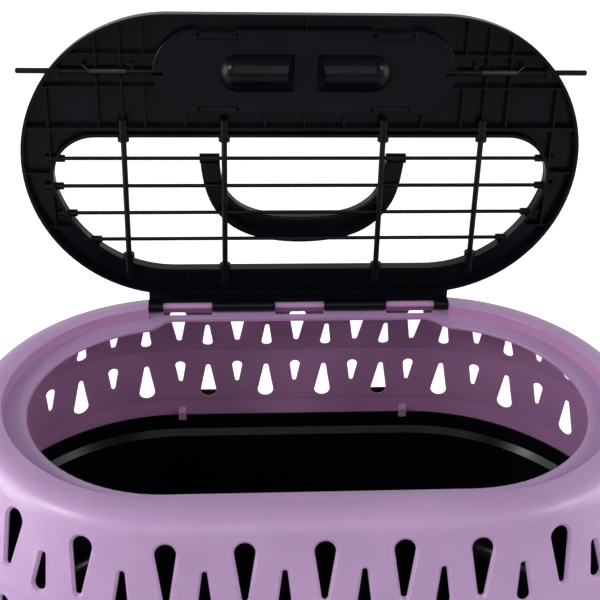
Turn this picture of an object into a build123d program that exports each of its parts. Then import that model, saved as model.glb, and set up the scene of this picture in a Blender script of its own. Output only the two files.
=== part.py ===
from build123d import *
import math
import os

# Top-load cat carrier, standing open: +Z up, +Y toward the hinge side, +X along the long side.
# The origin is the centre of the base, on the floor. All sizes are in millimetres.

# The body's outline is an oval: two straight sides and two half-turn ends.
# A radius below is the distance from the straight spine, so it is also the half depth.
spine = 91.0
ledge_z = 249.0
wall = 2.2

# Upper shell, radii from the spine and heights from the ledge
opening_radius = 93.4
rim_foot_radius = 107.8
rim_crest_radius = 108.1
rim_crest_height = 8.9
rim_shoulder_radius = 127.0
rim_shoulder_height = 9.8
rim_shoulder_round = 15.0
crease_radius = 145.8
crease_drop = 51.8
groove_radius = 152.4
groove_drop = 103.4
seam_radius = 153.0
seam_drop = 119.0
groove_step = 0.7
ledge_thickness = 2.2
ledge_edge_round = 0.9
crest_round = 0.8

# Flanges where shell and tray meet
flange_reach = 5.2
flange_thickness = 3.0
flange_round = 0.8

# Vents: drops measured along the wall, from the crease
vent_pitch = 23.0
vent_end_count = 8
vent_end_step = 10.5
large_vent_wide = 6.2
large_vent_narrow = 1.85
large_length_above = 36.0
large_length_below = 33.4
large_gap_above = 12.2
large_gap_below = 14.6
small_vent_wide = 3.9
small_vent_narrow = 1.55
small_length_above = 24.0
small_length_below = 20.8
small_gap_above = 6.8
small_gap_below = 11.3
vent_lip = 1.7
vent_depth = 8.0

# Locating tabs under the shell's lower edge
tab_x = 90.6
tab_width = 6.0
tab_thickness = 2.0
tab_hang = 3.0
tab_wall_gap = 0.3

# Lower tray
tray_flange_radius = 157.4
tray_collar_radius = 152.6
tray_collar_drop = 13.5
tray_step_radius = 149.0
tray_step_drop = 18.5
tray_foot_radius = 141.5
tray_foot_round = 20.0
tray_floor = 3.0
tray_wall = 2.6
tray_recess = 1.5
rest_ring_inner = 108.0
rest_ring_slope = 3.0

# Lid hinge
hinge_y = 116.0
hinge_height = 4.7
pin_radius = 1.3
pin_clearance = 0.06
pin_seat_clearance = 0.02
lid_knuckle_radius = 4.2
shell_knuckle_radius = 2.5
hinge_half_width = 111.2
shell_knuckles = [(-101.0, -65.0), (-18.2, 18.2), (65.0, 101.0)]
knuckle_gap = 0.3
pocket_gap = 0.5
hinge_ledge_y = 104.8
hinge_ledge_flat = 91.0
hinge_ledge_end = 112.0
hinge_stop_y = 121.6
hinge_back_y = 124.0
hinge_end_plate = 2.5
hinge_web_y = 122.2
hinge_web_top = 0.2
hinge_web_thickness = 2.4
hinge_slot_y = 111.0
hinge_slot_length = 7.5
filler_inset = 0.5

# Lid, in its own frame: u runs from the hinge axis to the free edge, w toward the inside
open_lean = 2.5
lid_seat_gap = 0.3
lid_thickness = 9.6
lid_radius = 102.9
lid_spine = 91.6
lid_shift = 0.9
lid_rest_margin = 1.0
lid_plate = 2.2
lid_skirt = 2.2
lid_edge_round = 3.0
leaf_start = 1.9
leaf_end = 18.0
leaf_thickness = 3.0
leaf_corner = 4.0
leaf_corner_x = 118.0
window_radius = 83.8
window_top = 16.9
window_corner = 30.0
window_wall = 2.2
window_wall_drop = 0.8
beam_u = 137.6
beam_thickness = 2.3
beam_drop = 1.0
rib_thickness = 1.2
rib_drop = 2.0
middle_rib_x = 27.3
housing_rib_x = 81.3
channel_rib_x = 108.8
end_rib_x = 124.0
far_rib_x = 140.4
side_rib_x = 174.5
side_rib_u = 65.0
side_rib_high_u = 105.9
side_rib_high_x = 170.0
side_rib_low_u = 65.4
side_rib_low_x = 156.0
leaf_rib_u = 20.3
leaf_rib_end = 105.0
rod_rib_start = 99.0
rod_rib_below = 10.5
rod_rib_above = 12.0

# Grille wires
upright_radius = 2.0
upright_x = [-124.1, -55.1, 55.1, 124.1]
upright_w = 2.0
upright_reach = 9.0
cross_radius = 1.35
wire_chamfer = 0.3
cross_pitch = 20.5
cross_count = 4
wire_gap = 0.05
wire_seat = 0.03
upright_collar = 3.2
upright_flare = 4.0
flare_length = 3.0
upright_collar_inside = [5.8, 3.8]
upright_collar_outside = 12.5
cross_reach = 7.0
cross_collar = 2.6
cross_collar_inside = 5.0
cross_collar_outside = 8.0

# Latches
latch_u = 62.5
rod_radius = 1.85
rod_tip_x = 193.5
rod_end_x = 86.0
rod_tip_round = 1.2
rod_clearance = 0.1
rod_seat = 0.02
rim_hole_radius = 2.8
rod_tip_gap = 1.2
latch_travel = 16.5
ear_x = 116.0
ear_width = 1.8
ear_start = 1.0
ear_length = 5.6
ear_under_w = -1.9
ear_over_w = 0.9
guide_inner_x = 164.5
guide_outer_x = 169.3
guide_half_width = 3.6
guide_top_w = 3.2
spring_inner_x = 120.3
spring_outer_x = 144.5
spring_half_turns = 39
spring_wire = 0.35
spring_mean_radius = 2.35
spring_tail_bend = 2.5
spring_tail_length = 4.6
spring_post_u = 4.4
spring_post_radius = 1.4
spring_post_top = 1.9
channel_inner_x = 112.0
channel_outer_x = 152.0
channel_half_width = 3.4

# Latch housing and its cover plate
housing_spine = 73.6
cover_radius = 29.0
cover_thickness = 1.8
cover_face_w = 4.0
housing_inset = 0.8
housing_wall = 1.8
rod_notch_low = 3.0
rod_notch_high = 7.5
bulge_inner_x = 6.6
bulge_outer_x = 58.3
bulge_half_width = 12.85
bulge_height = 8.5
bulge_skin = 1.8
bulge_slant = 6.0
snap_x = 59.0
snap_notch_length = 27.6
snap_notch_depth = 4.4
snap_recess_width = 2.0
snap_recess_depth = 0.9
snap_tongue_length = 24.4
snap_tongue_thickness = 2.4
snap_tongue_offset = 26.4
snap_hook_reach = 1.6
snap_hook_thickness = 0.8
snap_gap = 0.05
cover_end_slot = 7.0
cover_end_slot_width = 3.2
cover_edge_round = 0.4

# Finger sliders
finger_inner_x = 11.0
finger_outer_x = 56.5
finger_half_width = 10.4
finger_corner = 4.0
slider_under_w = -2.6
slider_over_w = 1.9
slider_side_gap = 0.3
paddle_x = 36.0
paddle_thickness = 4.0
paddle_clearance = 0.9
paddle_top_w = 7.0
paddle_tip_w = -5.0
paddle_round = 0.8
arm_inner = 13.0
arm_outer = 16.5
yoke_inner_x = 84.0
yoke_outer_x = 91.5
nose_outer_x = 97.5
nose_half_width = 5.0
yoke_bore_gap = 0.5
yoke_mouth = 3.0

# Carry handle
# Each outline is given from the top down as half width and drop below the first cross wire
handle_outer_line = [(72.4, -6.0), (72.0, 4.0), (69.8, 19.7), (61.5, 40.9), (45.6, 56.0), (20, 64.3)]
handle_outer_low = (0.0, 65.8)
handle_inner_line = [(58.4, -6.0), (58.3, 4.0), (56.8, 17.5), (50.2, 31.4), (36.8, 41.0), (18.0, 45.3)]
handle_inner_low = (0.0, 46.2)
handle_half_width = 72.4
handle_inner_half = 58.4
barrel_radius = 3.5
barrel_clearance = 0.08
handle_near_gap = 0.45
handle_depth = 10.5
handle_skin = 2.2
handle_round = 3.2
handle_near_round = 1.2
grip_lower_wall = 4.0
grip_upper_wall = 3.0
grip_channel_drop = 36.0
handle_cut_near = (3.5, -2.0)
handle_cut_far = (-7.0, -14.0)

# Side clips
clip_x = 70.0
clip_half_width = 18.0
clip_pivot_out = 2.9
clip_pivot_drop = 9.3
clip_barrel = 3.0
clip_trunnion = 1.5
clip_trunnion_length = 2.2
clip_clearance = 0.05
clip_side_gap = 0.3
clip_plate = 2.6
clip_plate_gap = 1.2
clip_hook_gap = 0.3
clip_hook_thickness = 2.6
clip_hook_wall_gap = 1.5
clip_tab_rise = 9.0
clip_tab_lean = 4.5
clip_tip_round = 0.8
clip_ear_thickness = 2.6
clip_ear_radius = 4.4
clip_ear_root = 150.3
clip_ear_root_depth = 2.0
clip_ear_root_height = 10.0

# Heights and places worked out from the sizes above
seam_z = ledge_z - seam_drop
crease_z = ledge_z - crease_drop
hinge_z = ledge_z + hinge_height
window_centre_u = hinge_y
lid_centre_u = window_centre_u - lid_shift
rim_w = hinge_height - lid_seat_gap
outer_w = rim_w - lid_thickness
plate_w = outer_w + lid_plate
rod_u = window_centre_u + latch_u
cross_w = upright_w - upright_radius - wire_gap - cross_radius
cover_under_w = cover_face_w - cover_thickness
hinge_end_x = hinge_half_width + pocket_gap
pin_half_length = hinge_half_width
bulge_radius = (bulge_half_width**2 + bulge_height**2) / (2 * bulge_height)
bulge_axis_w = cover_face_w + bulge_height - bulge_radius
bulge_dome_x = bulge_outer_x - bulge_half_width
clip_pivot_y = seam_radius + flange_reach + clip_pivot_out
clip_pivot_z = seam_z - clip_pivot_drop

# The open lid leans back by open_lean degrees from upright
lean = math.radians(open_lean)
along_lid = Vector(0, math.sin(lean), math.cos(lean))
toward_inside = Vector(0, -math.cos(lean), math.sin(lean))
lid_plane = Plane(origin=(0, hinge_y, hinge_z), x_dir=(1, 0, 0), z_dir=toward_inside)


def lid_point(x, u, w):
    """Place of a lid point given across, along and through the lid."""
    return Vector(x, hinge_y, hinge_z) + along_lid * u + toward_inside * w


def side_plane(x):
    """Plane across the lid's long direction, its own axes being u and w."""
    return Plane(origin=lid_point(x, 0, 0), x_dir=along_lid, z_dir=(1, 0, 0))


def wall_radius_at(drop):
    """Outer radius of the upper wall at a drop below the ledge, above the crease."""
    share = (drop + rim_shoulder_height) / (crease_drop + rim_shoulder_height)
    return rim_shoulder_radius + (crease_radius - rim_shoulder_radius) * share


def near(vertices, x, y):
    """The vertex of a flat outline that lies nearest to a place on its plane."""
    return vertices.sort_by_distance((x, y))[0]


def oval_ring(section):
    """Run a wall section round a quarter of the oval, then mirror it twice."""
    extrude(section, amount=spine)
    revolve(section, axis=Axis((-spine, 0, 0), (0, 0, 1)), revolution_arc=90)


upper_slope = math.atan2(crease_radius - rim_shoulder_radius, crease_drop + rim_shoulder_height)
lower_slope = math.atan2(groove_radius - crease_radius, groove_drop - crease_drop)


def vent_cutter(length, wide_radius, narrow_radius):
    """A drop-shaped cutter with its wide end up and a bevelled lip at the outer face."""

    def drop(margin):
        with Locations((0, length / 2 - wide_radius)):
            Circle(wide_radius + margin)
        with Locations((0, narrow_radius - length / 2)):
            Circle(narrow_radius + margin)
        make_hull()

    with BuildPart() as cutter:
        with BuildSketch(Plane.XY.offset(-vent_depth)):
            drop(0)
        extrude(amount=2 * vent_depth)
        with BuildSketch(Plane.XY.offset(-vent_lip)):
            drop(0)
        with BuildSketch(Plane.XY.offset(wall)):
            drop(vent_lip + wall)
        loft()
    return cutter.part


large_above = vent_cutter(large_length_above, large_vent_wide, large_vent_narrow)
large_below = vent_cutter(large_length_below, large_vent_wide, large_vent_narrow)
small_above = vent_cutter(small_length_above, small_vent_wide, small_vent_narrow)
small_below = vent_cutter(small_length_below, small_vent_wide, small_vent_narrow)


def vent_planes(gap, length, first, above):
    """Planes of every second vent on the back left quarter, wide ends away from or at the crease."""
    slope = upper_slope if above else lower_slope
    side = 1 if above else -1
    stations = [(-vent_pitch * k, 0.0) for k in range(4)]
    stations += [(-spine, vent_end_step * k) for k in range(vent_end_count + 1)]
    planes = []
    for x, angle in stations[first::2]:
        turn = math.radians(angle)
        outward = Vector(-math.sin(turn), math.cos(turn), 0)
        normal = outward * math.cos(slope) + Vector(0, 0, math.sin(slope))
        upward = Vector(0, 0, math.cos(slope)) - outward * math.sin(slope)
        centre = Vector(x, 0, crease_z) + outward * crease_radius + upward * side * (gap + length / 2)
        planes.append((centre, normal, outward.cross(Vector(0, 0, 1)) * -1))
    return planes


def place(planes, upright):
    """Turn the vent places into planes, with the cutter's wide end up or down."""
    placed = []
    for centre, normal, across in planes:
        placed.append(Plane(origin=centre, x_dir=across * (1 if upright else -1), z_dir=normal))
    return placed


def block(x0, x1, y0, y1, z0, z1, mode=Mode.ADD):
    """Box between two corners, along the axes of the part being built."""
    with Locations(((x0 + x1) / 2, (y0 + y1) / 2, (z0 + z1) / 2)):
        Box(abs(x1 - x0), abs(y1 - y0), abs(z1 - z0), mode=mode)


def bar_along_x(x0, x1, y, z, radius, mode=Mode.ADD):
    """Round bar between two places across the part."""
    with Locations(((x0 + x1) / 2, y, z)):
        Cylinder(radius, abs(x1 - x0), rotation=(0, 90, 0), mode=mode)


def bar_along_u(x, u0, u1, w, radius, mode=Mode.ADD):
    """Round bar along the lid's u direction."""
    with Locations((x, (u0 + u1) / 2, w)):
        Cylinder(radius, abs(u1 - u0), rotation=(90, 0, 0), mode=mode)


# Filler under the hinge: closes the rim's hollow where its top is cut away
filler_foot_z = ledge_z - ledge_thickness - filler_inset
with BuildPart() as hinge_filler:
    with BuildSketch(Plane.YZ.offset(-spine)) as filler_section:
        with BuildLine():
            Polyline(
                (rim_foot_radius, filler_foot_z),
                (rim_crest_radius, ledge_z + rim_crest_height),
                (rim_shoulder_radius, ledge_z + rim_shoulder_height),
                (wall_radius_at(ledge_z - filler_foot_z), filler_foot_z),
                close=True,
            )
        make_face()
        filler_shoulder = near(filler_section.vertices(), rim_shoulder_radius, ledge_z + rim_shoulder_height)
        fillet(filler_shoulder, rim_shoulder_round)
        offset(amount=-filler_inset)
    oval_ring(filler_section.sketch)
    block(-hinge_end_x - hinge_end_plate, 0, 0, hinge_back_y, 0, 2 * ledge_z, Mode.INTERSECT)


def shell_ring():
    """A quarter of the upper shell, without its vents."""
    with BuildSketch(Plane.YZ.offset(-spine)) as section:
        with BuildLine():
            Polyline(
                (opening_radius, ledge_z),
                (rim_foot_radius, ledge_z),
                (rim_crest_radius, ledge_z + rim_crest_height),
                (rim_shoulder_radius, ledge_z + rim_shoulder_height),
                (crease_radius, crease_z),
                (groove_radius, ledge_z - groove_drop),
                (seam_radius, seam_z + flange_thickness),
                (seam_radius + flange_reach, seam_z + flange_thickness),
                (seam_radius + flange_reach, seam_z),
                (seam_radius - wall + groove_step, seam_z),
                (groove_radius - wall + groove_step, ledge_z - groove_drop),
                (groove_radius - wall, ledge_z - groove_drop),
                (crease_radius - wall, crease_z),
                (rim_shoulder_radius - wall, ledge_z + rim_shoulder_height - wall),
                (rim_crest_radius + wall, ledge_z + rim_crest_height - wall),
                (rim_foot_radius + wall, ledge_z - ledge_thickness),
                (opening_radius, ledge_z - ledge_thickness),
                close=True,
            )
        make_face()
        outer_shoulder = near(section.vertices(), rim_shoulder_radius, ledge_z + rim_shoulder_height)
        fillet(outer_shoulder, rim_shoulder_round)
        inner_z = ledge_z + rim_shoulder_height - wall
        inner_shoulder = near(section.vertices(), rim_shoulder_radius - wall, inner_z)
        fillet(inner_shoulder, rim_shoulder_round - wall)
        fillet(near(section.vertices(), rim_crest_radius, ledge_z + rim_crest_height), crest_round)
        fillet(near(section.vertices(), opening_radius, ledge_z), ledge_edge_round)
        fillet(near(section.vertices(), seam_radius + flange_reach, seam_z + flange_thickness), flange_round)
    oval_ring(section.sketch)


def shell_vents():
    """Vents of a quarter: four kinds, large and small in turn above and below the crease."""
    with Locations(*place(vent_planes(large_gap_above, large_length_above, 0, True), True)):
        add(large_above, mode=Mode.SUBTRACT)
    with Locations(*place(vent_planes(small_gap_above, small_length_above, 1, True), False)):
        add(small_above, mode=Mode.SUBTRACT)
    with Locations(*place(vent_planes(small_gap_below, small_length_below, 0, False), True)):
        add(small_below, mode=Mode.SUBTRACT)
    with Locations(*place(vent_planes(large_gap_below, large_length_below, 1, False), False)):
        add(large_below, mode=Mode.SUBTRACT)


def shell_tab():
    """Tab that hangs inside the tray's collar."""
    tab_outer = tray_collar_radius - tray_wall - tab_wall_gap
    tab_inner = tab_outer - tab_thickness
    with BuildSketch(Plane.YZ.offset(-tab_x - tab_width / 2)) as tab_section:
        with BuildLine():
            Polyline(
                (tab_inner, seam_z - tab_hang),
                (tab_outer, seam_z - tab_hang),
                (tab_outer, seam_z + tab_wall_gap),
                (seam_radius - wall / 2, seam_z + tab_wall_gap),
                (seam_radius - wall / 2, seam_z + 4 * tab_thickness),
                (tab_inner, seam_z + 2 * tab_thickness),
                close=True,
            )
        make_face()
    extrude(tab_section.sketch, amount=tab_width)


# Front quarter of the shell, drawn on the back side, with the hole for the latch rod
with BuildPart() as front_quarter:
    shell_ring()
    hole_x = spine + math.sqrt(rim_foot_radius**2 - latch_u**2)
    hole_end_x = -rod_tip_x - rod_tip_gap
    bar_along_x(-hole_x + 3 * wall, hole_end_x, latch_u, hinge_z, rim_hole_radius, Mode.SUBTRACT)
    shell_vents()
    shell_tab()

# Left half of the shell: back quarter with the hinge, then the front quarter
with BuildPart() as shell_half:
    shell_ring()

    # Hinge recess in the back rim, closed below and behind
    add(hinge_filler.part)
    recess_top_z = ledge_z + 2 * rim_shoulder_height
    block(-hinge_end_x, 0, opening_radius, hinge_stop_y, ledge_z, recess_top_z, Mode.SUBTRACT)

    # The ledge steps back in front of the hinge
    with BuildSketch(Plane.XY.offset(ledge_z - 2 * ledge_thickness)):
        with BuildLine():
            bend_out = hinge_ledge_end - spine
            bend_y = math.sqrt(opening_radius**2 - bend_out**2)
            Polyline((-hinge_ledge_end, bend_y), (-spine, spine / 2), (0, spine / 2), (0, hinge_ledge_y))
            Line((0, hinge_ledge_y), (-hinge_ledge_flat, hinge_ledge_y))
            Spline(
                (-hinge_ledge_flat, hinge_ledge_y),
                (-hinge_ledge_end, bend_y),
                tangents=[(-1, 0), (-bend_y / opening_radius, -bend_out / opening_radius)],
            )
        make_face()
    extrude(amount=3 * ledge_thickness, mode=Mode.SUBTRACT)

    # Hinge knuckles joined to the rim, with a slot under each
    for low_x, high_x in shell_knuckles[:2]:
        high_x = min(high_x, 0)
        bar_along_x(low_x, high_x, hinge_y, hinge_z, shell_knuckle_radius)
        web_foot_z = hinge_z + hinge_web_top - hinge_web_thickness
        block(low_x, high_x, hinge_y, hinge_web_y, web_foot_z, web_foot_z + hinge_web_thickness)
        slot_end_y = hinge_slot_y + hinge_slot_length
        block(low_x, high_x, hinge_slot_y, slot_end_y, ledge_z - 2 * ledge_thickness, ledge_z, Mode.SUBTRACT)
    bar_along_x(-hinge_half_width, 0, hinge_y, hinge_z, pin_radius + pin_seat_clearance, Mode.SUBTRACT)
    shell_vents()
    shell_tab()
    mirror(front_quarter.part, about=Plane.XZ)

# Upper shell: the two halves joined at the middle
left_half = shell_half.part.solid()
with BuildPart() as upper_shell:
    add(left_half.fuse(left_half.mirror(Plane.YZ)), clean=False)

# Lower tray: floor, wall and collar in one section
with BuildPart() as lower_tray:
    collar_foot_z = seam_z - tray_collar_drop
    step_foot_z = seam_z - tray_step_drop
    tray_flange_z = seam_z - flange_thickness
    with BuildSketch(Plane.YZ.offset(-spine)) as tray_section:
        with BuildLine():
            Polyline(
                (0, tray_recess),
                (rest_ring_inner, tray_recess),
                (rest_ring_inner + rest_ring_slope, 0),
                (tray_foot_radius, 0),
                (tray_step_radius, step_foot_z),
                (tray_collar_radius, collar_foot_z),
                (tray_collar_radius, tray_flange_z),
                (tray_flange_radius, tray_flange_z),
                (tray_flange_radius, seam_z),
                (tray_collar_radius - tray_wall, seam_z),
                (tray_collar_radius - tray_wall, collar_foot_z),
                (tray_step_radius - tray_wall, step_foot_z),
                (tray_foot_radius - tray_wall, tray_recess + tray_floor),
                (0, tray_recess + tray_floor),
                close=True,
            )
        make_face()
        fillet(near(tray_section.vertices(), tray_foot_radius, 0), tray_foot_round)
        inner_foot = near(tray_section.vertices(), tray_foot_radius - tray_wall, tray_recess + tray_floor)
        fillet(inner_foot, tray_foot_round - tray_wall)
        fillet(near(tray_section.vertices(), tray_flange_radius, tray_flange_z), flange_round)
    oval_ring(tray_section.sketch)

    # Two ears for each side clip
    for direction in (-1, 1):
        ear_near = clip_half_width + clip_side_gap
        ear_low_x = -clip_x + direction * (ear_near + clip_ear_thickness / 2) - clip_ear_thickness / 2
        with BuildSketch(Plane.YZ.offset(ear_low_x)):
            with Locations((clip_pivot_y, clip_pivot_z)):
                Circle(clip_ear_radius)
            root_y = clip_ear_root + clip_ear_root_depth / 2
            with Locations((root_y, tray_flange_z - clip_ear_root_height / 2)):
                Rectangle(clip_ear_root_depth, clip_ear_root_height)
            make_hull()
            with Locations((clip_pivot_y, clip_pivot_z)):
                Circle(clip_trunnion + clip_clearance, mode=Mode.SUBTRACT)
        extrude(amount=clip_ear_thickness)
    mirror(about=Plane.XZ)
    mirror(about=Plane.YZ)

# Hinge pin, a plain wire through all the knuckles
with BuildPart() as hinge_pin:
    bar_along_x(-pin_half_length, pin_half_length, hinge_y, hinge_z, pin_radius)
    chamfer(hinge_pin.edges(), pin_radius / 4)


def lid_face(radius):
    """The lid's oval outline on a plane of the lid."""
    with Locations((0, lid_centre_u)):
        SlotCenterToCenter(2 * lid_spine, 2 * radius)


# Window outline: an oval cut straight along its top, with large corner roundings
window_corner_x = spine + math.sqrt(window_radius**2 - window_top**2)
window_head_u = window_centre_u + window_top
with BuildSketch() as window_outline:
    with Locations((0, window_centre_u)):
        SlotCenterToCenter(2 * spine, 2 * window_radius)
    with Locations((0, window_head_u - window_radius)):
        Rectangle(4 * spine, 2 * window_radius, mode=Mode.INTERSECT)
    for side in (-1, 1):
        fillet(near(window_outline.vertices(), side * window_corner_x, window_head_u), window_corner)


def window_edge_u(x):
    """Lower edge of the window at a place across the lid."""
    beyond = max(abs(x) - spine, 0)
    return window_centre_u - math.sqrt(window_radius**2 - beyond**2)


def window_edge_x(u):
    """Side edge of the window at a place along the lid."""
    corner_centre_u = window_head_u - window_corner
    reach = window_radius - window_corner
    corner_centre_x = spine + math.sqrt(reach**2 - (corner_centre_u - window_centre_u) ** 2)
    touch_u = window_centre_u + (corner_centre_u - window_centre_u) * window_radius / reach
    if u > touch_u:
        return corner_centre_x + math.sqrt(window_corner**2 - (u - corner_centre_u) ** 2)
    return spine + math.sqrt(window_radius**2 - (u - window_centre_u) ** 2)


# Ribs on the lid's inner face, trimmed to the space between skirt and window
rib_top_w = rim_w - rib_drop
channel_low_u = rod_u - rod_rib_below
channel_high_u = rod_u + rod_rib_above
lid_low_u = lid_centre_u - lid_radius
lid_high_u = lid_centre_u + lid_radius
window_foot_u = window_centre_u - window_radius
housing_low_u = rod_u - cover_radius + 2 * housing_wall
housing_high_u = rod_u + cover_radius - 2 * housing_wall
upright_ribs = [
    (0.0, beam_u, housing_low_u),
    (0.0, housing_high_u, lid_high_u),
    (0.0, lid_low_u, window_foot_u),
    (middle_rib_x, beam_u, housing_low_u),
    (housing_rib_x, beam_u, housing_low_u),
    (housing_rib_x, lid_low_u, window_foot_u),
    (channel_rib_x, beam_u, channel_low_u),
    (channel_rib_x, channel_high_u, lid_high_u),
    (end_rib_x, beam_u, lid_high_u),
    (far_rib_x, beam_u, lid_high_u),
    (side_rib_x, side_rib_u, channel_low_u),
]
cross_ribs = [
    (rod_rib_start, 2 * spine, channel_low_u),
    (rod_rib_start, 2 * spine, channel_high_u),
    (side_rib_high_x, 3 * spine, side_rib_high_u),
    (side_rib_low_x, 3 * spine, side_rib_low_u),
    (0.0, leaf_rib_end, leaf_rib_u),
]
with BuildPart() as lid_ribs:
    for side in (-1, 1):
        for rib_x, low_u, high_u in upright_ribs:
            low_x = side * rib_x - rib_thickness / 2
            block(low_x, low_x + rib_thickness, low_u, high_u, plate_w, rib_top_w)
        for near_x, far_x, rib_u in cross_ribs:
            rib_foot_u = rib_u - rib_thickness / 2
            block(side * near_x, side * far_x, rib_foot_u, rib_foot_u + rib_thickness, plate_w, rib_top_w)
        block(0, side * 3 * spine, beam_u, beam_u + beam_thickness, plate_w, rim_w - beam_drop)
    with BuildSketch(Plane.XY.offset(outer_w)):
        lid_face(lid_radius - lid_skirt / 2)
        with BuildSketch(mode=Mode.SUBTRACT):
            add(window_outline.sketch)
            offset(amount=window_wall / 2)
    extrude(amount=2 * lid_thickness, mode=Mode.INTERSECT)

# Lid moulding: shallow oval tray with a window, ribs, sockets, hinge leaf and latch housing
with BuildPart(lid_plane) as lid_frame:
    with BuildSketch(lid_plane.offset(outer_w)):
        lid_face(lid_radius)
    extrude(amount=lid_thickness)
    fillet(lid_frame.faces().sort_by(Axis((0, 0, 0), toward_inside))[0].edges(), lid_edge_round)
    with BuildSketch(lid_plane.offset(plate_w)):
        lid_face(lid_radius - lid_skirt)
    extrude(amount=lid_thickness, mode=Mode.SUBTRACT)

    # Wall round the window, then the window itself
    with BuildSketch(lid_plane.offset(plate_w)):
        add(window_outline.sketch)
        offset(amount=window_wall)
    extrude(amount=rim_w - window_wall_drop - plate_w)
    with BuildSketch(lid_plane.offset(outer_w - lid_plate)):
        add(window_outline.sketch)
    extrude(amount=2 * lid_thickness, mode=Mode.SUBTRACT)

    # Hinge leaf with curved shoulders
    with BuildSketch(lid_plane.offset(outer_w)) as leaf_outline:
        lid_face(lid_radius)
        with Locations((0, leaf_end / 2)):
            Rectangle(2 * hinge_half_width, leaf_end)
        shoulder_u = lid_centre_u - math.sqrt(lid_radius**2 - (hinge_half_width - lid_spine) ** 2)
        for side in (-1, 1):
            fillet(near(leaf_outline.vertices(), side * hinge_half_width, shoulder_u), leaf_corner)
        with Locations((0, leaf_start + leaf_end / 2 - leaf_start / 2)):
            Rectangle(2 * leaf_corner_x, leaf_end - leaf_start, mode=Mode.INTERSECT)
    extrude(amount=lid_plate)
    block(-hinge_half_width, hinge_half_width, leaf_start, leaf_end, outer_w, outer_w + leaf_thickness)

    # Hinge knuckles between those of the shell
    edges_x = [-hinge_half_width]
    for low_x, high_x in shell_knuckles:
        edges_x += [low_x - knuckle_gap, high_x + knuckle_gap]
    edges_x.append(hinge_half_width)
    for low_x, high_x in zip(edges_x[0::2], edges_x[1::2]):
        bar_along_x(low_x, high_x, 0, 0, lid_knuckle_radius)
        block(low_x, high_x, 0, leaf_start + leaf_thickness / 2, outer_w, 0)

    add(lid_ribs.part)

    # Sockets for the grille wires
    for x in upright_x:
        inside = upright_collar_inside[0] if abs(x) > spine else upright_collar_inside[1]
        foot_u = window_edge_u(x)
        head_u = window_head_u
        bar_along_u(x, foot_u - upright_collar_outside, foot_u + inside, upright_w, upright_collar)
        bar_along_u(x, foot_u + inside - flare_length, foot_u + inside, upright_w, upright_flare)
        bar_along_u(x, head_u - flare_length, head_u + upright_collar_outside, upright_w, upright_collar)
        bar_along_u(x, head_u - flare_length, head_u, upright_w, upright_flare)
    for number in range(cross_count):
        wire_u = window_centre_u - number * cross_pitch
        edge_x = window_edge_x(wire_u)
        for side in (-1, 1):
            inner_x = side * (edge_x - cross_collar_inside)
            bar_along_x(inner_x, side * (edge_x + cross_collar_outside), wire_u, cross_w, cross_collar)

    # Nothing reaches below the rim where the shell's ledge lies when the lid is shut
    with BuildSketch(lid_plane.offset(rim_w)):
        lid_face(lid_radius)
        with Locations((0, hinge_y)):
            SlotCenterToCenter(2 * spine, 2 * (opening_radius - lid_rest_margin), mode=Mode.SUBTRACT)
    extrude(amount=lid_thickness, mode=Mode.SUBTRACT)

    # Latch housing, its snap tongues and its finger openings
    with BuildSketch(lid_plane.offset(plate_w)):
        with Locations((0, rod_u)):
            SlotCenterToCenter(2 * housing_spine, 2 * (cover_radius - housing_inset))
            inner_width = 2 * (cover_radius - housing_inset - housing_wall)
            SlotCenterToCenter(2 * housing_spine, inner_width, mode=Mode.SUBTRACT)
    extrude(amount=cover_under_w - plate_w)
    hook_w = cover_face_w - snap_recess_depth + snap_gap
    for side in (-1, 1):
        low_x = side * snap_x - snap_tongue_length / 2
        high_x = side * snap_x + snap_tongue_length / 2
        for half in (-1, 1):
            tongue_u = rod_u + half * snap_tongue_offset
            tongue_in = tongue_u - half * snap_tongue_thickness / 2
            tongue_out = tongue_u + half * snap_tongue_thickness / 2
            hook_in = tongue_in - half * snap_hook_reach
            block(low_x, high_x, tongue_in, tongue_out, plate_w, hook_w + snap_hook_thickness)
            block(low_x, high_x, hook_in, tongue_out, hook_w, hook_w + snap_hook_thickness)
        notch_x = side * (housing_spine + cover_radius)
        notch_low = rod_u - rod_notch_low
        notch_high = rod_u + rod_notch_high
        notch_w = slider_under_w
        notch_inner_x = notch_x - 3 * side * housing_wall
        block(notch_inner_x, notch_x, notch_low, notch_high, notch_w, rim_w, Mode.SUBTRACT)
    with BuildSketch(lid_plane.offset(outer_w - lid_plate)):
        for side in (-1, 1):
            with Locations((side * (finger_inner_x + finger_outer_x) / 2, rod_u)):
                RectangleRounded(finger_outer_x - finger_inner_x, 2 * finger_half_width, finger_corner)
    extrude(amount=2 * lid_plate, mode=Mode.SUBTRACT)

    # Channel for rod and spring, spring posts, rod guides and the rod's own hole
    for side in (-1, 1):
        low_u = rod_u - channel_half_width
        high_u = rod_u + channel_half_width
        block(side * channel_inner_x, side * channel_outer_x, low_u, high_u, plate_w, rim_w, Mode.SUBTRACT)
        post_x = side * (spring_outer_x + spring_tail_length * math.cos(math.pi / 4) + spring_tail_bend / 4)
        with Locations((post_x, rod_u + spring_post_u, (plate_w + spring_post_top) / 2)):
            Cylinder(spring_post_radius, spring_post_top - plate_w)
        low_u = rod_u - guide_half_width
        high_u = rod_u + guide_half_width
        block(side * guide_inner_x, side * guide_outer_x, low_u, high_u, plate_w, guide_top_w)
        bore_radius = rod_radius + rod_clearance
        bar_along_x(side * channel_inner_x, side * 2 * spine, rod_u, 0, bore_radius, Mode.SUBTRACT)

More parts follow.
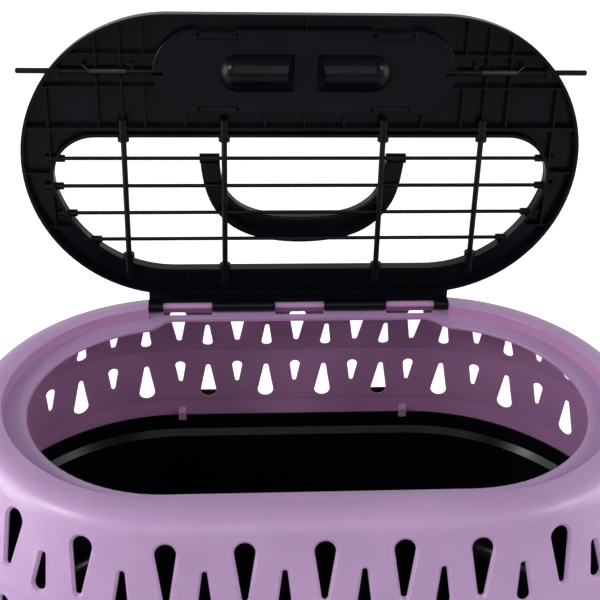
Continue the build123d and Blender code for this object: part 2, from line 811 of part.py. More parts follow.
    # Bores of the hinge and of the grille sockets
    bar_along_x(-2 * spine, 2 * spine, 0, 0, pin_radius + pin_clearance, Mode.SUBTRACT)
    for x in upright_x:
        low_u = window_edge_u(x) - upright_reach - wire_gap
        high_u = window_head_u + upright_reach + wire_gap
        bar_along_u(x, low_u, high_u, upright_w, upright_radius + wire_seat, Mode.SUBTRACT)
    for number in range(cross_count):
        wire_u = window_centre_u - number * cross_pitch
        bore_x = window_edge_x(wire_u) + cross_reach + wire_gap
        bar_along_x(-bore_x, bore_x, wire_u, cross_w, cross_radius + wire_seat, Mode.SUBTRACT)

# Grille wires: thick uprights in front, thin cross wires behind them
uprights = []
for x in upright_x:
    with BuildPart(lid_plane) as upright:
        low_u = window_edge_u(x) - upright_reach
        high_u = window_head_u + upright_reach
        bar_along_u(x, low_u, high_u, upright_w, upright_radius)
        chamfer(upright.edges(), wire_chamfer)
    uprights.append(upright.part)
crosses = []
for number in range(cross_count):
    with BuildPart(lid_plane) as cross:
        wire_u = window_centre_u - number * cross_pitch
        half_length = window_edge_x(wire_u) + cross_reach
        bar_along_x(-half_length, half_length, wire_u, cross_w, cross_radius)
        chamfer(cross.edges(), wire_chamfer)
    crosses.append(cross.part)


def bulge(radius, end_shift):
    """Half-round bulge of the cover with a domed outer end and a slanted inner end."""
    with BuildPart() as shape:
        bar_along_x(bulge_inner_x, bulge_dome_x, rod_u, bulge_axis_w, radius)
        with Locations((bulge_dome_x, rod_u, bulge_axis_w)):
            Sphere(radius)
        with BuildSketch(Plane.XZ.offset(-rod_u + 2 * bulge_radius)) as slant:
            with BuildLine():
                Polyline(
                    (bulge_inner_x + end_shift, cover_under_w),
                    (bulge_outer_x + bulge_radius, cover_under_w),
                    (bulge_outer_x + bulge_radius, cover_face_w + bulge_height),
                    (bulge_inner_x + end_shift + bulge_slant, cover_face_w + bulge_height),
                    close=True,
                )
            make_face()
        extrude(slant.sketch, amount=-4 * bulge_radius, mode=Mode.INTERSECT)
    return shape.part


# Cover plate of the latch housing
with BuildPart(lid_plane) as latch_cover_plate:
    with BuildSketch(lid_plane.offset(cover_under_w)):
        with Locations((0, rod_u)):
            SlotCenterToCenter(2 * housing_spine, 2 * cover_radius)
        for side in (-1, 1):
            notch_out = cover_radius - snap_notch_depth / 2 + cover_edge_round
            for half in (-1, 1):
                with Locations((side * snap_x, rod_u + half * notch_out)):
                    Rectangle(snap_notch_length, snap_notch_depth + 2 * cover_edge_round, mode=Mode.SUBTRACT)
            with Locations((side * (housing_spine + cover_radius), rod_u)):
                Rectangle(2 * cover_end_slot, cover_end_slot_width, mode=Mode.SUBTRACT)
    extrude(amount=cover_thickness)
    chamfer(latch_cover_plate.faces().sort_by(Axis((0, 0, 0), toward_inside))[-1].edges(), cover_edge_round)

    # Shallow seats for the snap hooks
    for side in (-1, 1):
        low_x = side * snap_x - snap_notch_length / 2
        for half in (-1, 1):
            seat_out = rod_u + half * cover_radius
            seat_in = rod_u + half * (cover_radius - snap_notch_depth - snap_recess_width)
            seat_w = cover_face_w - snap_recess_depth
            block(low_x, low_x + snap_notch_length, seat_in, seat_out, seat_w, cover_face_w, Mode.SUBTRACT)

    # Finger pockets
    outer_bulge = bulge(bulge_radius, 0)
    inner_bulge = bulge(bulge_radius - bulge_skin, bulge_skin)
    add(outer_bulge)
    add(mirror(outer_bulge, about=Plane.YZ, mode=Mode.PRIVATE))
    add(inner_bulge, mode=Mode.SUBTRACT)
    add(mirror(inner_bulge, about=Plane.YZ, mode=Mode.PRIVATE), mode=Mode.SUBTRACT)

# Latch rod: straight wire with a small ear for the spring
with BuildPart(lid_plane) as latch_rod_right:
    bar_along_x(rod_end_x, rod_tip_x, rod_u, 0, rod_radius)
    fillet(latch_rod_right.edges().sort_by(Axis.X)[-1], rod_tip_round)
    ear_low_x = ear_x - ear_width / 2
    block(ear_low_x, ear_low_x + ear_width, rod_u + ear_start, rod_u + ear_length, ear_under_w, ear_over_w)
with BuildPart() as latch_rod_left:
    mirror(latch_rod_right.part, about=Plane.YZ)

# Finger slider: upright paddle, two arms and a yoke that holds the rod's end
with BuildPart(lid_plane) as latch_slider_right:
    paddle_low_x = paddle_x - paddle_thickness / 2
    paddle_high_x = paddle_x + paddle_thickness / 2
    with BuildSketch(side_plane(paddle_low_x)):
        with Locations((rod_u, bulge_axis_w)):
            Circle(bulge_radius - bulge_skin - paddle_clearance)
        paddle_half = finger_half_width - slider_side_gap
        with Locations((rod_u, (paddle_top_w + paddle_tip_w) / 2)):
            Rectangle(2 * paddle_half, paddle_top_w - paddle_tip_w, mode=Mode.INTERSECT)
    extrude(amount=paddle_thickness)
    fillet(latch_slider_right.edges(), paddle_round)
    block(paddle_low_x, paddle_high_x, rod_u - arm_outer, rod_u + arm_outer, slider_under_w, slider_over_w)
    for half in (-1, 1):
        arm_in_u = rod_u + half * arm_inner
        arm_out_u = rod_u + half * arm_outer
        block(paddle_low_x, yoke_outer_x, arm_in_u, arm_out_u, slider_under_w, slider_over_w)
    block(yoke_inner_x, yoke_outer_x, rod_u - arm_outer, rod_u + arm_outer, slider_under_w, slider_over_w)
    nose_low = rod_u - nose_half_width
    nose_high = rod_u + nose_half_width
    block(yoke_inner_x, nose_outer_x, nose_low, nose_high, slider_under_w, slider_over_w)
    bore_x = rod_end_x - yoke_bore_gap
    bar_along_x(bore_x, nose_outer_x, rod_u, 0, rod_radius + rod_seat, Mode.SUBTRACT)
    mouth_low = rod_u - yoke_mouth / 2
    block(bore_x, nose_outer_x, mouth_low, mouth_low + yoke_mouth, 0, slider_over_w, Mode.SUBTRACT)
with BuildPart() as latch_slider_left:
    mirror(latch_slider_right.part, about=Plane.YZ)


# Latch spring: left-hand coil round the rod with a tail at each end
spring_pitch = (spring_outer_x - spring_inner_x) * 2 / spring_half_turns


def coil_place(half_turn):
    """Centre of the wire after a number of half turns, and its direction there."""
    angle = math.pi / 2 + math.pi * half_turn
    x = spring_inner_x + spring_pitch * half_turn / 2
    u = rod_u + spring_mean_radius * math.cos(angle)
    w = -spring_mean_radius * math.sin(angle)
    along = Vector(1, 0, 0) * spring_pitch / (2 * math.pi)
    along -= along_lid * spring_mean_radius * math.sin(angle)
    along -= toward_inside * spring_mean_radius * math.cos(angle)
    return lid_point(x, u, w), along.normalized()


def coil_step(start, start_way, end, end_way):
    """Two arcs that meet smoothly between two places on the coil."""
    chord = end - start
    both = start_way + end_way
    down = chord.dot(both)
    spread = 2 * (1 - start_way.dot(end_way))
    reach = (math.sqrt(down**2 + spread * chord.dot(chord)) - down) / spread
    near_point = start + start_way * reach
    far_point = end - end_way * reach
    middle = (near_point + far_point) * 0.5
    TangentArc(start, middle, tangent=start_way)
    TangentArc(middle, end, tangent=far_point - near_point)


def coil_tail(start, way, side):
    """Bent wire end that leaves the coil and leans away from it."""
    lean_way = Vector(side, 0, 0)
    turn = math.pi / 4
    bend_end = start + way * spring_tail_bend * math.sin(turn)
    bend_end += lean_way * spring_tail_bend * (1 - math.cos(turn))
    TangentArc(start, bend_end, tangent=way)
    Line(bend_end, bend_end + (way + lean_way).normalized() * spring_tail_length)


with BuildPart() as latch_spring_right:
    with BuildLine() as spring_line:
        first, first_way = coil_place(0)
        coil_tail(first, first_way * -1, -1)
        for number in range(spring_half_turns):
            start, start_way = coil_place(number)
            end, end_way = coil_place(number + 1)
            coil_step(start, start_way, end, end_way)
        coil_tail(end, end_way, 1)
    spring_wire_path = spring_line.wire()
    with BuildSketch(Plane(origin=spring_wire_path @ 0, z_dir=spring_wire_path % 0)):
        Circle(spring_wire)
    sweep(path=spring_wire_path)
with BuildPart() as latch_spring_left:
    mirror(latch_spring_right.part, about=Plane.YZ)


def bail_curve(line, skin):
    """Smooth curve from one top end of the handle's outline down and up to the other."""
    across = 1 - skin / line[0][0]
    down = 1 - skin / line[-1][1]
    left = [(-half * across, window_centre_u - drop * down) for half, drop in line]
    right = [(-x, u) for x, u in reversed(left[:-1])]
    return left + right


def bail_face(outer_skin, inner_skin):
    """The handle's outline, seen square to the lid, with a skin left outside and inside."""
    outer = bail_curve(handle_outer_line + [handle_outer_low], outer_skin)
    inner = bail_curve(handle_inner_line + [handle_inner_low], -inner_skin)
    with BuildSketch() as shape:
        with BuildLine():
            Spline(*outer, tangents=[(0, -1), (0, 1)])
            Line(outer[-1], inner[-1])
            Spline(*inner, tangents=[(0, -1), (0, 1)])
            Line(inner[0], outer[0])
        make_face()
    return shape.sketch


# Carry handle: flat bail that hangs from the first cross wire, its grip hollow toward the lid
with BuildPart(lid_plane) as carry_handle:
    near_w = cross_w - cross_radius - handle_near_gap
    with BuildSketch(lid_plane.offset(near_w - handle_depth)):
        add(bail_face(0, 0))
    extrude(amount=handle_depth)
    fillet(carry_handle.faces().sort_by(Axis((0, 0, 0), toward_inside))[0].edges(), handle_round)
    fillet(carry_handle.faces().sort_by(Axis((0, 0, 0), toward_inside))[-1].edges(), handle_near_round)

    # Channel in the grip
    with BuildSketch(lid_plane.offset(near_w)):
        add(bail_face(grip_lower_wall, grip_upper_wall))
        with Locations((0, window_centre_u - grip_channel_drop - handle_half_width)):
            Rectangle(2 * handle_half_width, 2 * handle_half_width, mode=Mode.INTERSECT)
    extrude(amount=handle_skin - handle_depth, mode=Mode.SUBTRACT)

    # Legs cut on a slant behind the barrels, then the barrels and their bore
    with BuildSketch(side_plane(-handle_half_width)):
        with BuildLine():
            near_u = window_centre_u + handle_cut_near[0]
            far_u = window_centre_u + handle_cut_far[0]
            Polyline(
                (near_u, handle_cut_near[1]),
                (far_u, handle_cut_far[1]),
                (near_u + handle_depth, handle_cut_far[1]),
                (near_u + handle_depth, handle_cut_near[1]),
                close=True,
            )
        make_face()
    extrude(amount=2 * handle_half_width, mode=Mode.SUBTRACT)
    for side in (-1, 1):
        near_x = side * handle_inner_half
        bar_along_x(near_x, side * handle_half_width, window_centre_u, cross_w, barrel_radius)
    bore_radius = cross_radius + barrel_clearance
    bar_along_x(-handle_half_width, handle_half_width, window_centre_u, cross_w, bore_radius, Mode.SUBTRACT)

# Side clip on the back right: plate with barrel, hook over the shell's flange and finger tab
with BuildPart() as side_clip_back_right:
    plate_in = seam_radius + flange_reach + clip_plate_gap
    plate_out = plate_in + clip_plate
    hook_z = seam_z + flange_thickness + clip_hook_gap
    hook_top = hook_z + clip_hook_thickness
    tip_y = seam_radius + clip_hook_wall_gap
    with BuildSketch(Plane.YZ.offset(clip_x - clip_half_width)):
        with BuildLine():
            Polyline(
                (plate_in, clip_pivot_z),
                (plate_in, hook_z),
                (tip_y, hook_z),
                (tip_y, hook_top),
                (plate_in, hook_top),
                (plate_in + clip_tab_lean, hook_top + clip_tab_rise),
                (plate_out + clip_tab_lean, hook_top + clip_tab_rise - clip_hook_gap),
                (plate_out, hook_z),
                (plate_out, clip_pivot_z),
                close=True,
            )
        make_face()
        with Locations((clip_pivot_y, clip_pivot_z)):
            Circle(clip_barrel)
    extrude(amount=2 * clip_half_width)
    tip_edges = side_clip_back_right.edges().filter_by(Axis.X).sort_by(Axis.Z)[-2:]
    fillet(tip_edges, clip_tip_round)
    trunnion_reach = clip_half_width + clip_trunnion_length
    bar_along_x(clip_x - trunnion_reach, clip_x + trunnion_reach, clip_pivot_y, clip_pivot_z, clip_trunnion)
with BuildPart() as side_clip_back_left:
    mirror(side_clip_back_right.part, about=Plane.YZ)
with BuildPart() as side_clip_front_right:
    mirror(side_clip_back_right.part, about=Plane.XZ)
with BuildPart() as side_clip_front_left:
    mirror(side_clip_back_left.part, about=Plane.XZ)

pieces = {
    "upper_shell": upper_shell.part,
    "lower_tray": lower_tray.part,
    "hinge_pin": hinge_pin.part,
    "lid_frame": lid_frame.part,
    "latch_cover_plate": latch_cover_plate.part,
    "latch_rod_left": latch_rod_left.part,
    "latch_rod_right": latch_rod_right.part,
    "latch_slider_left": latch_slider_left.part,
    "latch_slider_right": latch_slider_right.part,
    "latch_spring_left": latch_spring_left.part,
    "latch_spring_right": latch_spring_right.part,
    "carry_handle": carry_handle.part,
    "side_clip_front_left": side_clip_front_left.part,
    "side_clip_front_right": side_clip_front_right.part,
    "side_clip_back_left": side_clip_back_left.part,
    "side_clip_back_right": side_clip_back_right.part,
}
for number, wire in enumerate(uprights, start=1):
    pieces[f"grille_bar_upright_{number}"] = wire
for number, wire in enumerate(crosses, start=1):
    pieces[f"grille_bar_cross_{number}"] = wire

os.makedirs("parts", exist_ok=True)
for name, piece in pieces.items():
    piece.label = name
    export_step(piece, f"parts/{name}.step")
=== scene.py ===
import math

import bpy
from mathutils import Matrix, Vector


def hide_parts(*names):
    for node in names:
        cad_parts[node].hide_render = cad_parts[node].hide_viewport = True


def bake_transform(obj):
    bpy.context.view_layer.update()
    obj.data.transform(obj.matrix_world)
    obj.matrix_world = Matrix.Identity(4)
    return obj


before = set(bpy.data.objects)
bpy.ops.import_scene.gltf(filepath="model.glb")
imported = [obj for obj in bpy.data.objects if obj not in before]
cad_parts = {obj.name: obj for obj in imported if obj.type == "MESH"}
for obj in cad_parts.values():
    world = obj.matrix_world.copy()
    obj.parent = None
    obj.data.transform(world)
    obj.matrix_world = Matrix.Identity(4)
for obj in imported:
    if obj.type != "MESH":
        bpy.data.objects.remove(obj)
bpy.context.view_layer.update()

# Upper shell of the carrier: lilac polypropylene, injection moulded in one piece with the rim,
# the vents and the hinge knuckles. Its satin skin has broad highlights and a faint cloudiness from
# the pigment. On walls that face the middle of the carrier the colour is painted darker and pinker:
# this is painted shade and painted bounced light of the shell's inside, not the pigment's own
# colour.
LILAC = "BF9CC8"
LILAC_DEEP = "B795C1"
# Painted shade: this tint multiplies the pigment on walls facing the carrier's middle.
LILAC_PAINTED_SHADE = "F2DAE4"
LILAC_ROUGHNESS = 0.36
LILAC_SPECULAR = 0.85
LILAC_GRAIN_MM = 0.9
LILAC_GRAIN_DEPTH_MM = 0.02
LILAC_GLOW = 0.3
GLOW_COLOUR = (1.0, 0.45, 0.85)
GLOW_DEPTH = 0.004
PLASTIC_IOR = 1.49
CLOUDS_PER_METRE = 22.0
CLOUD_EDGES = (0.35, 0.65)
GLOSS_SPOTS_PER_METRE = 60.0
GLOSS_EDGES = (0.3, 0.7)
GLOSS_LOSS = 0.03
GLOSS_GAIN = 0.04
GRAIN_STRENGTH = 0.35
# Edges of the painted shade mask: how squarely a wall faces the upright middle line.
PAINTED_SHADE_EDGES = (-0.1, -0.6)
MM_PER_METRE = 1000


def linear(code):
    """Turns an sRGB hex code into the linear colour that a shader takes."""
    values = []
    for start in (0, 2, 4):
        level = int(code[start : start + 2], 16) / 255
        values.append(level / 12.92 if level <= 0.04045 else ((level + 0.055) / 1.055) ** 2.4)
    return (*values, 1.0)


def add_node(owner, kind, settings=None, links=None):
    """Adds one node with its settings; a key of links is an input that another output feeds."""
    made = owner.node_tree.nodes.new(kind)
    for name, value in (settings or {}).items():
        if name in made.inputs:
            made.inputs[name].default_value = value
        else:
            setattr(made, name, value)
    for key, source in (links or {}).items():
        owner.node_tree.links.new(source, made.inputs[key])
    return made


def empty_material(name):
    """A material with no nodes in it yet."""
    material = bpy.data.materials.new(name)
    material.use_nodes = True
    material.node_tree.nodes.clear()
    return material


def paint_inside_shade(material, place, pigment, tint):
    """Paints shade: darkens and pinkens the pigment on walls whose outward side faces the
    piece's upright middle line.
    """
    facing = add_node(material, "ShaderNodeTexCoord").outputs["Normal"]
    level = add_node(material, "ShaderNodeVectorMath", {"operation": "MULTIPLY"}, {0: place})
    level.inputs[1].default_value = (1.0, 1.0, 0.0)
    outward = add_node(
        material, "ShaderNodeVectorMath", {"operation": "NORMALIZE"}, {0: level.outputs["Vector"]}
    )
    agreement = add_node(
        material,
        "ShaderNodeVectorMath",
        {"operation": "DOT_PRODUCT"},
        {0: outward.outputs["Vector"], 1: facing},
    )
    share = add_node(
        material,
        "ShaderNodeMapRange",
        {"From Min": PAINTED_SHADE_EDGES[0], "From Max": PAINTED_SHADE_EDGES[1], "To Min": 0.0, "To Max": 1.0},
        {"Value": agreement.outputs["Value"]},
    )
    # Painted shade: the tint multiplies the pigment where the wall faces the middle line.
    mixed = add_node(
        material,
        "ShaderNodeMix",
        {"data_type": "RGBA", "blend_type": "MULTIPLY"},
        {0: share.outputs["Result"], 6: pigment},
    )
    mixed.inputs[7].default_value = linear(tint)
    return mixed.outputs[2]


def moulded_plastic(name, tones, roughness, specular, grain_mm, depth_mm, glow=0.0, inside=None):
    """Satin moulded plastic: two close pigment tones, a fine skin and a slightly uneven gloss.

    The glow is the share of light that wanders a few millimetres inside thin pale walls. The
    inside colour is painted shade: it darkens and pinkens the walls that face the middle of the
    piece.
    """
    material = empty_material(name)
    place = add_node(material, "ShaderNodeTexCoord").outputs["Object"]
    cloud = add_node(
        material,
        "ShaderNodeTexNoise",
        {"Scale": CLOUDS_PER_METRE, "Detail": 3.0},
        {"Vector": place},
    )
    tone = add_node(material, "ShaderNodeValToRGB", links={"Fac": cloud.outputs["Fac"]})
    for end, edge, code in zip((0, 1), CLOUD_EDGES, reversed(tones)):
        tone.color_ramp.elements[end].position = edge
        tone.color_ramp.elements[end].color = linear(code)
    pigment = tone.outputs["Color"]
    # Painted shade on the walls that face the middle of the piece.
    if inside:
        pigment = paint_inside_shade(material, place, pigment, inside)
    gloss = add_node(
        material,
        "ShaderNodeTexNoise",
        {"Scale": GLOSS_SPOTS_PER_METRE, "Detail": 2.0},
        {"Vector": place},
    )
    gloss_range = add_node(
        material,
        "ShaderNodeMapRange",
        {
            "From Min": GLOSS_EDGES[0],
            "From Max": GLOSS_EDGES[1],
            "To Min": roughness - GLOSS_LOSS,
            "To Max": roughness + GLOSS_GAIN,
        },
        {"Value": gloss.outputs["Fac"]},
    )
    grain = add_node(
        material,
        "ShaderNodeTexNoise",
        {"Scale": MM_PER_METRE / grain_mm, "Detail": 1.0},
        {"Vector": place},
    )
    bump = add_node(
        material,
        "ShaderNodeBump",
        {"Strength": GRAIN_STRENGTH, "Distance": depth_mm / MM_PER_METRE},
        {"Height": grain.outputs["Fac"]},
    )
    skin = add_node(
        material,
        "ShaderNodeBsdfPrincipled",
        {
            "IOR": PLASTIC_IOR,
            "Specular IOR Level": specular,
            "Subsurface Weight": glow,
            "Subsurface Radius": GLOW_COLOUR,
            "Subsurface Scale": GLOW_DEPTH,
        },
        {
            "Base Color": pigment,
            "Roughness": gloss_range.outputs["Result"],
            "Normal": bump.outputs["Normal"],
        },
    )
    add_node(material, "ShaderNodeOutputMaterial", links={"Surface": skin.outputs["BSDF"]})
    return material


def dress(node_name, material):
    """Gives a carried-over piece its material."""
    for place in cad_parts[node_name].material_slots:
        place.material = material


lilac_polypropylene = moulded_plastic(
    "moulded lilac polypropylene",
    (LILAC, LILAC_DEEP),
    LILAC_ROUGHNESS,
    LILAC_SPECULAR,
    LILAC_GRAIN_MM,
    LILAC_GRAIN_DEPTH_MM,
    LILAC_GLOW,
    LILAC_PAINTED_SHADE,
)
dress("upper_shell", lilac_polypropylene)

# Lower tray, lid moulding, latch cover, sliders, carry handle and side clips: black polypropylene
# from polished tools. It is nearly black with a cold tinge, and shows its shape by its highlights.
BLACK = "080A12"
BLACK_DEEP = "06080E"
BLACK_ROUGHNESS = 0.22
BLACK_SPECULAR = 0.17
BLACK_GRAIN_MM = 0.8
BLACK_GRAIN_DEPTH_MM = 0.010
black_polypropylene = moulded_plastic(
    "moulded black polypropylene",
    (BLACK, BLACK_DEEP),
    BLACK_ROUGHNESS,
    BLACK_SPECULAR,
    BLACK_GRAIN_MM,
    BLACK_GRAIN_DEPTH_MM,
)
for piece_name in (
    "lower_tray",
    "lid_frame",
    "latch_cover_plate",
    "latch_slider_left",
    "latch_slider_right",
    "carry_handle",
    "side_clip_front_left",
    "side_clip_front_right",
    "side_clip_back_left",
    "side_clip_back_right",
):
    dress(piece_name, black_polypropylene)

# Grille wires and latch rods: drawn steel wire with a thin black powder coat, which is a little
# rougher than the plastic and has a fine orange-peel skin.
COAT = "06080B"
COAT_DEEP = "05060A"
COAT_ROUGHNESS = 0.34
COAT_SPECULAR = 0.22
COAT_GRAIN_MM = 0.5
COAT_GRAIN_DEPTH_MM = 0.02
powder_coat = moulded_plastic(
    "black powder coat on steel wire",
    (COAT, COAT_DEEP),
    COAT_ROUGHNESS,
    COAT_SPECULAR,
    COAT_GRAIN_MM,
    COAT_GRAIN_DEPTH_MM,
)
for number in (1, 2, 3, 4):
    dress(f"grille_bar_upright_{number}", powder_coat)
    dress(f"grille_bar_cross_{number}", powder_coat)
for hand in ("left", "right"):
    dress(f"latch_rod_{hand}", powder_coat)

# Hinge pin and latch springs: hard-drawn spring steel, dark from oil, with fine uneven marks left
# by drawing.
STEEL = "5C5C60"
STEEL_DEEP = "3A3A3D"
STEEL_ROUGHNESS = 0.38
STEEL_MARKS_PER_METRE = 900.0
spring_steel = empty_material("oiled spring steel wire")
steel_marks = add_node(
    spring_steel,
    "ShaderNodeTexNoise",
    {"Scale": STEEL_MARKS_PER_METRE, "Detail": 2.0},
    {"Vector": add_node(spring_steel, "ShaderNodeTexCoord").outputs["Object"]},
)
steel_tone = add_node(spring_steel, "ShaderNodeValToRGB", links={"Fac": steel_marks.outputs["Fac"]})
steel_tone.color_ramp.elements[0].color = linear(STEEL_DEEP)
steel_tone.color_ramp.elements[1].color = linear(STEEL)
steel_skin = add_node(
    spring_steel,
    "ShaderNodeBsdfPrincipled",
    {"Metallic": 1.0, "Roughness": STEEL_ROUGHNESS},
    {"Base Color": steel_tone.outputs["Color"]},
)
add_node(spring_steel, "ShaderNodeOutputMaterial", links={"Surface": steel_skin.outputs["BSDF"]})
dress("hinge_pin", spring_steel)

# Latch springs: 0.7 mm wire close wound left-handed round each rod, with a straight tail hooked
# on the rod's ear and another on the lid's post. They stretch when the rod is pulled in.
HINGE_AXIS = Vector((0, 0.116, 0.2537))
LID_LEAN = math.radians(2.5)
ALONG_LID = Vector((0, math.sin(LID_LEAN), math.cos(LID_LEAN)))
TOWARD_INSIDE = Vector((0, -math.cos(LID_LEAN), math.sin(LID_LEAN)))
ROD_FROM_HINGE = 0.1785
ROD_CENTRE = HINGE_AXIS + ALONG_LID * ROD_FROM_HINGE
SPRING_INNER_X = 0.1203
SPRING_OUTER_X = 0.1445
SPRING_TURNS = 19.5
SPRING_RADIUS = 0.00235
SPRING_WIRE = 0.00035
TAIL_BEND = 0.0025
TAIL_LENGTH = 0.0046
TAIL_ANGLE = math.radians(45)
BEND_STEPS = 6
STRAIGHT_STEPS = 4
STEPS_PER_TURN = 28
WIRE_SIDES = 10
END_DOME_HEIGHT = 0.35
END_DOME_RADIUS = 0.7


def wire_mesh(name, points, radius):
    """A round wire through points, with domed cut ends."""
    mesh = bpy.data.meshes.new(name)
    rings = []
    normal = None
    for index, point in enumerate(points):
        ahead = points[min(index + 1, len(points) - 1)]
        behind = points[max(index - 1, 0)]
        way = (ahead - behind).normalized()
        if normal is None:
            normal = way.orthogonal().normalized()
        normal = (normal - way * normal.dot(way)).normalized()
        other = way.cross(normal)
        dome = way * radius * END_DOME_HEIGHT
        if index == 0:
            rings.append((point - dome, radius * END_DOME_RADIUS, normal, other))
        rings.append((point, radius, normal, other))
        if index == len(points) - 1:
            rings.append((point + dome, radius * END_DOME_RADIUS, normal, other))
    corners = []
    for centre, size, normal, other in rings:
        for step in range(WIRE_SIDES):
            angle = 2 * math.pi * step / WIRE_SIDES
            corners.append(centre + (normal * math.cos(angle) + other * math.sin(angle)) * size)
    faces = [tuple(range(WIRE_SIDES))[::-1]]
    for ring in range(len(rings) - 1):
        low = ring * WIRE_SIDES
        high = low + WIRE_SIDES
        for step in range(WIRE_SIDES):
            after = (step + 1) % WIRE_SIDES
            faces.append((low + step, low + after, high + after, high + step))
    faces.append(tuple(range(len(corners) - WIRE_SIDES, len(corners))))
    mesh.from_pydata(corners, [], faces)
    mesh.shade_smooth()
    return mesh


def tail(start, way, lean_way):
    """A spring's end: a bend away from the coil by the tail's angle, then a straight stretch."""
    points = []
    for step in range(1, BEND_STEPS + 1):
        turn = TAIL_ANGLE * step / BEND_STEPS
        forward = way * TAIL_BEND * math.sin(turn)
        aside = lean_way * TAIL_BEND * (1 - math.cos(turn))
        points.append(start + forward + aside)
    bend_end = points[-1]
    for step in range(1, STRAIGHT_STEPS + 1):
        straight = (way + lean_way).normalized() * TAIL_LENGTH
        points.append(bend_end + straight * step / STRAIGHT_STEPS)
    return points


for side, hand in ((-1, "left"), (1, "right")):
    coil = []
    for step in range(int(SPRING_TURNS * STEPS_PER_TURN) + 1):
        turns = step / STEPS_PER_TURN
        angle = math.pi / 2 + 2 * math.pi * turns
        x = side * (SPRING_INNER_X + (SPRING_OUTER_X - SPRING_INNER_X) * turns / SPRING_TURNS)
        across = ALONG_LID * math.cos(angle) - TOWARD_INSIDE * math.sin(angle)
        coil.append(ROD_CENTRE + Vector((x, 0, 0)) + across * SPRING_RADIUS)
    inner_tail = tail(coil[0], (coil[0] - coil[1]).normalized(), Vector((-side, 0, 0)))
    outer_tail = tail(coil[-1], (coil[-1] - coil[-2]).normalized(), Vector((side, 0, 0)))
    wire = inner_tail[::-1] + coil + outer_tail
    mesh = wire_mesh(f"coil_latch_{hand}", wire, SPRING_WIRE)
    mesh.materials.append(spring_steel)
    spring = bpy.data.objects.new(f"wound_spring_{hand}", mesh)
    bpy.context.scene.collection.objects.link(spring)
    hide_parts(f"latch_spring_{hand}")
    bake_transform(spring)

# Floor: a plain pale paper sweep. Seen by the camera it is lifted to white, and it keeps the
# carrier's shadow.
FLOOR_REACH = 30
PAPER = "DCDCDC"
PAPER_LIFT = 0.8
floor_corners = [
    (-FLOOR_REACH, -FLOOR_REACH, 0),
    (FLOOR_REACH, -FLOOR_REACH, 0),
    (FLOOR_REACH, FLOOR_REACH, 0),
    (-FLOOR_REACH, FLOOR_REACH, 0),
]
floor_mesh = bpy.data.meshes.new("studio_floor")
floor_mesh.from_pydata(floor_corners, [], [(0, 1, 2, 3)])
floor = bpy.data.objects.new("studio_floor", floor_mesh)
bpy.context.scene.collection.objects.link(floor)
floor_paper = empty_material("white paper sweep")
rays = add_node(floor_paper, "ShaderNodeLightPath")
lift = add_node(
    floor_paper,
    "ShaderNodeMath",
    {"operation": "MULTIPLY"},
    {0: rays.outputs["Is Camera Ray"]},
)
lift.inputs[1].default_value = PAPER_LIFT
paper = add_node(floor_paper, "ShaderNodeBsdfDiffuse", {"Color": linear(PAPER)})
glow = add_node(
    floor_paper, "ShaderNodeEmission", {"Color": (1, 1, 1, 1)}, {"Strength": lift.outputs[0]}
)
both = add_node(
    floor_paper, "ShaderNodeAddShader", links={0: paper.outputs[0], 1: glow.outputs[0]}
)
add_node(floor_paper, "ShaderNodeOutputMaterial", links={"Surface": both.outputs[0]})
floor_mesh.materials.append(floor_paper)

# Studio round the carrier: bright low walls under a darker ceiling, and a dimmer end behind the
# camera. Heights and depths are parts of the view direction. The camera sees plain white.
WALL_LIGHT = 0.85
CEILING_LIGHT = 0.20
WALL_TOP = 0.05
CEILING_EDGE = 0.70
FRONT_END_SHARE = 0.45
FRONT_END = -0.97
FRONT_END_EDGE = -0.5
world = bpy.data.worlds.new("studio")
world.use_nodes = True
world.node_tree.nodes.clear()
direction = add_node(world, "ShaderNodeTexCoord").outputs["Generated"]
split = add_node(world, "ShaderNodeSeparateXYZ", links={"Vector": direction})
walls = add_node(
    world,
    "ShaderNodeMapRange",
    {
        "From Min": WALL_TOP,
        "From Max": CEILING_EDGE,
        "To Min": WALL_LIGHT,
        "To Max": CEILING_LIGHT,
    },
    {"Value": split.outputs["Z"]},
)
front_end = add_node(
    world,
    "ShaderNodeMapRange",
    {
        "From Min": FRONT_END,
        "From Max": FRONT_END_EDGE,
        "To Min": FRONT_END_SHARE,
        "To Max": 1.0,
    },
    {"Value": split.outputs["Y"]},
)
room = add_node(
    world,
    "ShaderNodeMath",
    {"operation": "MULTIPLY"},
    {0: walls.outputs["Result"], 1: front_end.outputs["Result"]},
)
sight = add_node(world, "ShaderNodeLightPath")
shade = add_node(
    world,
    "ShaderNodeMix",
    {"data_type": "FLOAT"},
    {0: sight.outputs["Is Camera Ray"], 2: room.outputs[0]},
)
shade.inputs[3].default_value = 1.0
backdrop = add_node(
    world, "ShaderNodeBackground", {"Strength": 1.0}, {"Color": shade.outputs[0]}
)
add_node(world, "ShaderNodeOutputWorld", links={"Surface": backdrop.outputs[0]})
bpy.context.scene.world = world

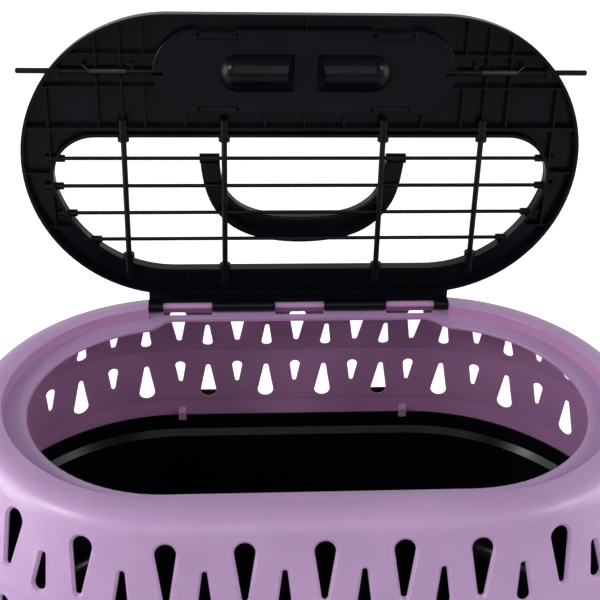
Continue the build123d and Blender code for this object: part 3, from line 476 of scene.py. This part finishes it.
# Soft light: a broad high box in front, a wide low one at each side that brightens the shoulders,
# and a compact one at each side for the small highlights on the finger pockets. Metres and watts.
BODY_MIDDLE = (0, 0, 0.22)
LID_FOOT = (0, 0, 0.3)
FRONT_SIZE = 1.8
SIDE_SIZE = 1.1
COMPACT_SIZE = 0.35


def softbox(name, place, target, size, power):
    """A square area lamp aimed at a point."""
    lamp = bpy.data.lights.new(name, "AREA")
    lamp.shape = "SQUARE"
    lamp.size = size
    lamp.energy = power
    box = bpy.data.objects.new(name, lamp)
    box.location = place
    box.rotation_mode = "QUATERNION"
    box.rotation_quaternion = (Vector(target) - Vector(place)).to_track_quat("-Z", "Y")
    bpy.context.scene.collection.objects.link(box)


softbox("softbox_front", (-0.2, -1.9, 1.5), BODY_MIDDLE, FRONT_SIZE, 10)
softbox("softbox_left", (-1.6, -0.1, 0.60), BODY_MIDDLE, SIDE_SIZE, 16)
softbox("softbox_right", (1.6, -0.1, 0.60), BODY_MIDDLE, SIDE_SIZE, 9)
softbox("compact_left", (-1.5, -0.8, 1.4), LID_FOOT, COMPACT_SIZE, 9)
softbox("compact_right", (1.5, -0.8, 1.4), LID_FOOT, COMPACT_SIZE, 6)

# Camera: fitted to the photograph's outlines; 70 mm on a 36 mm sensor, looking down 30 degrees.
CAMERA_PLACE = (-0.05774, -0.63253, 0.69541)
VIEW_RIGHT = Vector((0.997726, -0.062112, 0.026180))
VIEW_UP = Vector((0.008704, 0.503872, 0.863734))
VIEW_BACK = Vector((-0.066839, -0.861542, 0.503267))
LENS_MM = 70.02
SENSOR_MM = 36.0
lens = bpy.data.cameras.new("camera")
lens.lens = LENS_MM
lens.sensor_width = SENSOR_MM
lens.clip_start = 0.05
lens.clip_end = 100
camera = bpy.data.objects.new("camera", lens)
camera_turn = Matrix((VIEW_RIGHT, VIEW_UP, VIEW_BACK)).transposed().to_4x4()
camera.matrix_world = Matrix.Translation(CAMERA_PLACE) @ camera_turn
bpy.context.scene.collection.objects.link(camera)
bpy.context.scene.camera = camera
bpy.context.scene.view_settings.view_transform = "Standard"
